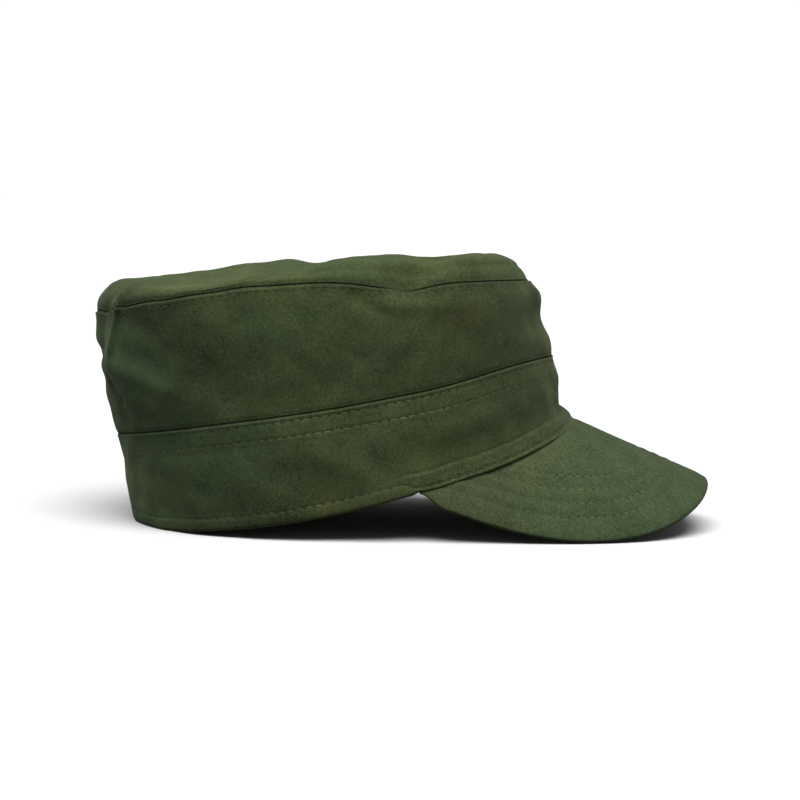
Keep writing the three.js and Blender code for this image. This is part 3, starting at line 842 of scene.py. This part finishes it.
sweep_here = np.degrees(np.arctan2(aside, ahead - PEAK_LENGTH + PEAK_EDGE_RADIUS))
drawn_here = ridge(sweep_here, DRAW_SWEEP)
row_place = (inset - DRAW_BACK * drawn_here) / (1 - DRAW_CLOSER * drawn_here)
print("stitches in each row", [round(float(np.ptp(row_count(row)))) for row in PEAK_ROWS])

# %% Relief of the peak
EDGE_ROUNDED = (0.6, 0, 7)
UNDER_ROUNDED = (0.15, 0, 3)
ENDS_THINNED, THIN_FROM = 0.55, 0.9
QUILT_HEIGHT = 0.12
groove = np.zeros_like(inset)
near_row = np.zeros_like(inset)
peak_count = np.zeros_like(inset)
for row in PEAK_ROWS:
    count = np.interp(sweep_here, sweep_fine, row_count(row))
    own = np.abs(row_place - row) < ROW_SPACING / 2
    peak_count = np.where(own, count, peak_count)
    near_row = np.maximum(near_row, ridge(row_place - row, ROW_WIDTH))
    groove += sewn_groove(row_place - row, count, 0.1) * own
between_rows = (row_place - PEAK_ROWS[0] - ROW_SPACING / 2) / ROW_SPACING
quilt = QUILT_HEIGHT * np.cos(2 * np.pi * between_rows)
quilt *= smooth_step(row_place, 7, 11) * (1 - smooth_step(row_place, 32, 36))
thickness = 1 - ENDS_THINNED * smooth_step(np.abs(shares), THIN_FROM, 1.0)[:, None]
top_lift = -raised(inset, *EDGE_ROUNDED)
under_lift = -CLOTH["peak"] * thickness + raised(inset, *UNDER_ROUNDED)
print("quilting", np.ptp(quilt).round(2), "mm, grooves", np.ptp(groove).round(2), "mm deep")

# %% Points of the peak, bent and closed at its ends
PEAK_WAVES = (0.5, 30, 5.5)
SEAM_TUCK = (0.4, 1.2, 3.4)
UNDER_QUILT = 0.6
END_TURNS = np.radians([30, 60, 90])


def peak_waves(aside, ahead):
    height, size, seed = PEAK_WAVES
    return height * undulation(np.stack([aside, ahead, 0 * aside], -1), size, seed)


def rounded_end(points, neighbour):
    """Columns that round off one end of the lattice, out to a line of merged points."""
    beyond = points - neighbour
    beyond /= np.maximum(np.linalg.norm(beyond, axis=-1, keepdims=True), TINY)
    beyond = (beyond + beyond[::-1]) / 2
    middle = (points + points[::-1]) / 2
    gap = np.linalg.norm(points - points[::-1], axis=-1, keepdims=True) / 2
    half, out = points - middle, beyond * gap
    return [middle + half * math.cos(t) + out * math.sin(t) for t in END_TURNS]


on_top = (lift_share == 0).astype(float)
relief = groove + quilt
across_edge = top_lift + (under_lift - top_lift) * lift_share
lift = np.where(lift_share == 1, under_lift - UNDER_QUILT * relief, across_edge)
lift = lift + on_top * (relief - raised(reach, *SEAM_TUCK)) + peak_waves(aside, ahead)
bent = peak_points(aside, ahead, lift, FRONT_SEAM_HEIGHT)
first, last = rounded_end(bent[0], bent[1]), rounded_end(bent[-1], bent[-2])
peak_lattice = np.stack([*first[::-1], *bent, *last])
peak_lattice = np.concatenate([peak_lattice, peak_lattice[:, :1]], axis=1)
print("peak columns", len(peak_lattice), "with", len(END_TURNS), "round each end")

# %% Painted shade and light of the peak, and its piece
UNDER_MAP_AWAY = 200


def to_lattice(grid):
    """Repeats the end columns and the first row of a grid, as the lattice has them."""
    grid = np.concatenate([grid[:1]] * len(END_TURNS) + [grid] + [grid[-1:]] * len(END_TURNS))
    return np.concatenate([grid, grid[:, :1]], axis=1)


under = to_lattice(lift_share + 0 * inset) > 0.5
flat_ahead = to_lattice(ahead)
flat_ahead = np.where(under, -flat_ahead - UNDER_MAP_AWAY, flat_ahead)
peak_map = np.stack([to_lattice(aside), flat_ahead], -1)
off_middle = np.abs(aside)
# Painted shade along the edge and over the middle, and painted light on the low sides.
peak_painted_light = -0.5 * ridge(inset, 1.6) - raised(off_middle, 0.3, 10, 50)
peak_painted_light += 0.25 * smooth_step(off_middle, 74, 96) * smooth_step(ahead, -30, 10)
peak_marks = {
    "wear_and_painted_light": to_lattice(peak_painted_light),
    "sewn": to_lattice(near_row),
    "stitches": to_lattice(peak_count),
}
peak = lattice_piece("peak_cloth", peak_lattice, peak_map, peak_marks)

# %% Stitches of the peak, above and below, where the crown leaves it free
ABOVE = (-0.18, 1)
BELOW = (-CLOTH["peak"] + 0.15, -1)
LAST_STITCH_Y = 21
thread = bmesh.new()
rim_front, rim_back, rim_half, rim_square, _ = OVALS[LEVEL["rim"]]
rim_middle, rim_length = (rim_front + rim_back) / 2, (rim_back - rim_front) / 2
for row in PEAK_ROWS:
    row_aside, row_ahead = row_line(row)
    count = row_count(row)
    for lift_by, sign in (ABOVE, BELOW):
        lift = lift_by + peak_waves(row_aside, row_ahead)
        path = peak_points(row_aside, row_ahead, lift, FRONT_SEAM_HEIGHT)
        out = path - peak_points(row_aside, row_ahead, lift - sign, FRONT_SEAM_HEIGHT)
        oval = np.abs(path[:, 0] / rim_half) ** rim_square
        oval += np.abs((path[:, 1] - rim_middle) / rim_length) ** rim_square
        free = (oval > 1.0) & (path[:, 1] < LAST_STITCH_Y)
        sew(thread, path[free], out[free], count[free], 0.08)
peak_stitches = finish_piece("peak_stitches", thread)

# %% [markdown]
# Shader arithmetic reads best as arithmetic. A small class wraps a socket, so that an expression
# such as 1 - mask adds the Math nodes for it, and one method adds any other node.

# %% Sockets that work like numbers
def operator(kind):
    """An operator and its reflected form, for a number on the left."""
    return (
        lambda left, right: left.math(kind, left, right),
        lambda right, left: right.math(kind, left, right),
    )


class Signal:
    def __init__(self, tree, socket=None):
        self.tree = tree
        self.socket = socket

    def node(self, kind, settings=None, inputs=None, output=0):
        """Adds a node: its settings first, then the values or links of its sockets."""
        made = self.tree.nodes.new(kind)
        for key, setting in (settings or {}).items():
            setattr(made, key, setting)
        for key, given in (inputs or {}).items():
            if isinstance(given, Signal):
                self.tree.links.new(given.socket, made.inputs[key])
            else:
                made.inputs[key].default_value = given
        return Signal(self.tree, made.outputs[output])

    def math(self, operation, *values):
        return self.node("ShaderNodeMath", {"operation": operation}, dict(enumerate(values)))

    __add__, __radd__ = operator("ADD")
    __sub__, __rsub__ = operator("SUBTRACT")
    __mul__, __rmul__ = operator("MULTIPLY")
    __truediv__, __rtruediv__ = operator("DIVIDE")
    __pow__, __rpow__ = operator("POWER")


def mix_colours(share, first, second):
    """The Mix node, whose sockets 6 and 7 and output 2 are the ones for colours."""
    inputs = {"Factor": share, 6: first, 7: second}
    return share.node("ShaderNodeMix", {"data_type": "RGBA"}, inputs, output=2)


def grey_noise(start, vector, scale, detail):
    """Noise from 0 to 1 with patches of about 1 / scale."""
    inputs = {"Vector": vector, "Scale": scale, "Detail": detail}
    return start.node("ShaderNodeTexNoise", {}, inputs)

# %% [markdown]
# The cloth is cotton twill: fine diagonal ribs from two directions of yarn, dyed olive a little
# unevenly, and paler where a fold is rubbed. A picture of cloth would show its joins, so both are
# made of noise and waves. The ribs follow the cloth, so they read the panel's own map in
# millimetres, and the patches of dye read object coordinates. Its tone also carries painted light:
# brighter where the light falls along the cap, with painted highlight and painted shade at seams,
# edges and folds.

# %% What the finishes share
def new_finish(name):
    """A new material, its shader and a signal to start its nodes from."""
    material = bpy.data.materials.new(name)
    material.use_nodes = True
    return material, material.node_tree.nodes["Principled BSDF"], Signal(material.node_tree)


def part_of(vector, axis):
    return vector.node("ShaderNodeSeparateXYZ", inputs={"Vector": vector}, output=axis)


def bell(value):
    return value.math("EXPONENT", value * value * -1.0)


def link(signal, shader, key):
    signal.tree.links.new(signal.socket, shader.inputs[key])


def scaled(colour, tone):
    return tone.node("ShaderNodeVectorMath", {"operation": "SCALE"}, {0: colour, "Scale": tone})


def bumped(height, strength, distance):
    inputs = {"Height": height, "Strength": strength, "Distance": distance}
    return height.node("ShaderNodeBump", {}, inputs)


# %% Olive cotton twill
RIB_PITCH = 0.75
WEFT_PITCH = 0.42
RIB_SLOPE = 1.6
CLOTH_NOISE = [(22, 3), (75, 3), (190, 2), (700, 2), (2000, 2)]
CLOTH_CONSTANTS = {
    "Sheen Weight": 0.12,
    "Sheen Roughness": 0.4,
    "Sheen Tint": (0.6, 0.7, 0.4, 1),
    "Specular IOR Level": 0.12,
}


def cloth_material(name, deep, pale, light_along, dye_back, dye_front):
    """Twill from two shades of dye, under a painted light given as (middle, reach, low, gain) along
    Y, in metres.
    """
    material, shader, start = new_finish(name)
    place = start.node("ShaderNodeTexCoord", output=3)
    cloth = start.node("ShaderNodeUVMap", {"uv_map": "cloth"})
    across, up = part_of(cloth, 0), part_of(cloth, 1)

    def mark(key):
        return start.node("ShaderNodeAttribute", {"attribute_name": key}, output=2)

    noises = [grey_noise(start, place, *size) for size in CLOTH_NOISE]
    patches, clouds, mottle, flecks, grain = noises
    yarn_drift = grey_noise(start, cloth, 0.35, 2.0)
    diagonal = (across + up * RIB_SLOPE) * (2 * math.pi / (RIB_PITCH * RIB_SLOPE))
    ribs = start.math("SINE", diagonal + yarn_drift * 5)
    wefts = start.math("SINE", up * (2 * math.pi / WEFT_PITCH))

    # Painted light: the tone is brightest at one place along Y and falls off from it.
    middle, reach, low, gain = light_along
    off_middle = (part_of(place, 1) - middle) / reach
    light_bell = bell(off_middle)
    dye_turn = bell(start.math("MAXIMUM", off_middle, 0.0))
    dye = (patches - 0.5) * 1.1 + (clouds - 0.5) * 0.5
    dye = dye + dye_back + (dye_front - dye_back) * dye_turn
    sewn = mark("sewn")
    needle = (0.5 + 0.5 * start.math("COSINE", mark("stitches") * (2 * math.pi))) ** 8
    hole = sewn * sewn * needle * (0.3 + 0.7 * light_bell)
    # Wear together with painted highlight and painted shade, from the pieces' marks.
    worn_and_lit = mark("wear_and_painted_light") * (0.3 + 0.5 * clouds)
    tone = 1.0 + (flecks - 0.5) + 2.2 * (grain - 0.5) + 0.05 * ribs
    tone = tone + 0.6 * (clouds - 0.5) + 0.35 * (mottle - 0.5)
    tone = (tone + 0.9 * worn_and_lit) * (1 - 0.45 * hole) * (low + gain * light_bell)
    height = 0.05 * ribs + 0.02 * wefts + 0.25 * (flecks - 0.5) + 0.14 * (grain - 0.5) - 0.15 * hole

    link(scaled(mix_colours(dye, deep, pale), tone), shader, "Base Color")
    link(0.88 + 0.08 * flecks - 0.06 * worn_and_lit, shader, "Roughness")
    link(bumped(height, 0.8, MM), shader, "Normal")
    for key, constant in CLOTH_CONSTANTS.items():
        shader.inputs[key].default_value = constant
    print(name, len(start.tree.nodes), "nodes")
    return material


DEEP = (0.0210, 0.0410, 0.0182, 1)
PALE = (0.0370, 0.0440, 0.0150, 1)
PEAK_DEEP = (0.0235, 0.0400, 0.0170, 1)
PEAK_PALE = (0.0325, 0.0425, 0.0178, 1)
top_twill = cloth_material("top twill", DEEP, PALE, (0.105, 0.035, 0.95, 0.12), 0.45, 0.65)
side_twill = cloth_material("side twill", DEEP, PALE, (0.045, 0.075, 0.71, 0.31), 0.1, 0.7)
band_twill = cloth_material("band twill", DEEP, PALE, (0.035, 0.075, 0.77, 0.25), 0.05, 0.7)
peak_light_along = (-0.098, 0.045, 1.0, 0.0)
peak_twill = cloth_material("peak twill", PEAK_DEEP, PEAK_PALE, peak_light_along, 1.05, 0.45)

# %% [markdown]
# The thread is a plain cotton one, a little glossier than the cloth. It could be one even colour,
# but on the real cap it shows pale in some stretches and sinks into the cloth's shade in others,
# so its tone drifts along the row and from stitch to stitch, and a painted light makes it
# brighter at one place along the cap.

# %% Sewing thread
THREAD_NOISE = [(20, 2), (130, 1), (1400, 2)]


def thread_material(name, colour, light_along):
    """Sewing thread, under a painted light that makes it paler at one place along the cap."""
    material, shader, start = new_finish(name)
    place = start.node("ShaderNodeTexCoord", output=3)
    drift, single, fuzz = [grey_noise(start, place, *size) for size in THREAD_NOISE]
    # Painted light along Y, as on the cloth.
    middle, reach, low, gain = light_along
    light_bell = bell((part_of(place, 1) - middle) / reach)
    tone = 0.85 + 2.6 * (drift - 0.5) + 0.9 * (single - 0.5) + 0.3 * (fuzz - 0.5)
    tone = start.math("MAXIMUM", tone * (low + gain * light_bell), 0.35)
    link(scaled(colour, tone), shader, "Base Color")
    link(0.75 + 0.15 * fuzz, shader, "Roughness")
    link(bumped(fuzz, 0.5, 0.2 * MM), shader, "Normal")
    shader.inputs["Specular IOR Level"].default_value = 0.2
    print(name, len(start.tree.nodes), "nodes")
    return material


band_thread = thread_material("band thread", (0.095, 0.105, 0.055), (0.022, 0.06, 0.35, 0.75))
side_thread = thread_material("side thread", (0.072, 0.082, 0.044), (0.05, 0.08, 0.5, 0.55))
peak_thread = thread_material("peak thread", (0.077, 0.088, 0.048), (-0.098, 0.045, 0.45, 0.6))

# %% [markdown]
# Each panel now takes the place of its plain wall from the CAD model, and the rows of thread
# ride along. The whole cap is one body, because nothing hard moves on it.

# %% Finishes and places in the frame
PIECES = [
    (crown_top, top_twill, "crown_cloth", ["crown_top"]),
    (crown_side, side_twill, "crown_cloth", ["crown_side"]),
    (crown_side_stitches, side_thread, "crown_cloth", []),
    (lower_band, band_twill, "band_cloth", ["lower_band"]),
    (lower_band_stitches, band_thread, "band_cloth", []),
    (peak, peak_twill, "peak_cloth", ["peak"]),
    (peak_stitches, peak_thread, "peak_cloth", []),
]
for piece, finish, slot, nodes in PIECES:
    piece.data.materials.append(finish)
    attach(piece, "root")
    if nodes:
        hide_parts(*nodes)
print(len(PIECES), "pieces ride on root")

# %% [markdown]
# The setting is a product photo: a white floor and backdrop, a large soft light overhead and a
# low even fill. A room with windows would look richer, but a plain one shows the cloth as it is.

# %% Floor
FLOOR_GREY = 0.45
FLOOR_ROUGHNESS = 0.9
bm = bmesh.new()
bmesh.ops.create_grid(bm, x_segments=1, y_segments=1, size=6)
floor = finish_piece("floor", bm)
white, floor_shader, _ = new_finish("white floor")
floor_shader.inputs["Base Color"].default_value = (FLOOR_GREY, FLOOR_GREY, FLOOR_GREY, 1)
floor_shader.inputs["Roughness"].default_value = FLOOR_ROUGHNESS
floor.data.materials.append(white)
floor.visible_diffuse = False

# %% Light
FILL_BELOW = 0.12
FILL_ABOVE = 0.22
BACKDROP = 1.02
LAMP_STRENGTH = 7.0
LAMP_WIDTH = math.radians(50)
LAMP_DIRECTION = (0.45, 0.0, -1)
world = bpy.data.worlds.new("studio")
world.use_nodes = True
background = world.node_tree.nodes["Background"]
studio = Signal(world.node_tree)
seen = studio.node("ShaderNodeLightPath")
height = part_of(studio.node("ShaderNodeTexCoord", output=0), 2)
overhead = studio.math("GREATER_THAN", height, 0.0)
link((FILL_BELOW + FILL_ABOVE * overhead) * (1 - seen) + BACKDROP * seen, background, "Strength")
background.inputs["Color"].default_value = (1, 1, 1, 1)
bpy.context.scene.world = world
light = bpy.data.lights.new("overhead softbox", "SUN")
light.energy = LAMP_STRENGTH
light.angle = LAMP_WIDTH
lamp = into_scene("overhead softbox", light)
lamp.matrix_world = Vector(LAMP_DIRECTION).to_track_quat("-Z", "Y").to_matrix().to_4x4()
print("lamp", round(math.degrees(light.angle)), "degrees wide")

# %% Camera
CAMERA_PLACE = (-1.4, 0.00041, 0.184)
CAMERA_DOWN = math.radians(5.17)
CAMERA_ROLL = math.radians(0.9)
LENS = 132.93
camera_data = bpy.data.cameras.new("camera")
camera_data.lens = LENS
camera_data.sensor_width = 36
camera = into_scene("camera", camera_data)
sideways = Matrix.Rotation(math.radians(-90), 4, "Z")
tilted = Matrix.Rotation(math.radians(90) - CAMERA_DOWN, 4, "X")
rolled = Matrix.Rotation(CAMERA_ROLL, 4, "Z")
camera.matrix_world = Matrix.Translation(CAMERA_PLACE) @ sideways @ tilted @ rolled
bpy.context.scene.camera = camera
bpy.context.scene.view_settings.view_transform = "Standard"
print("camera", -CAMERA_PLACE[0], "m from the middle of the cap")
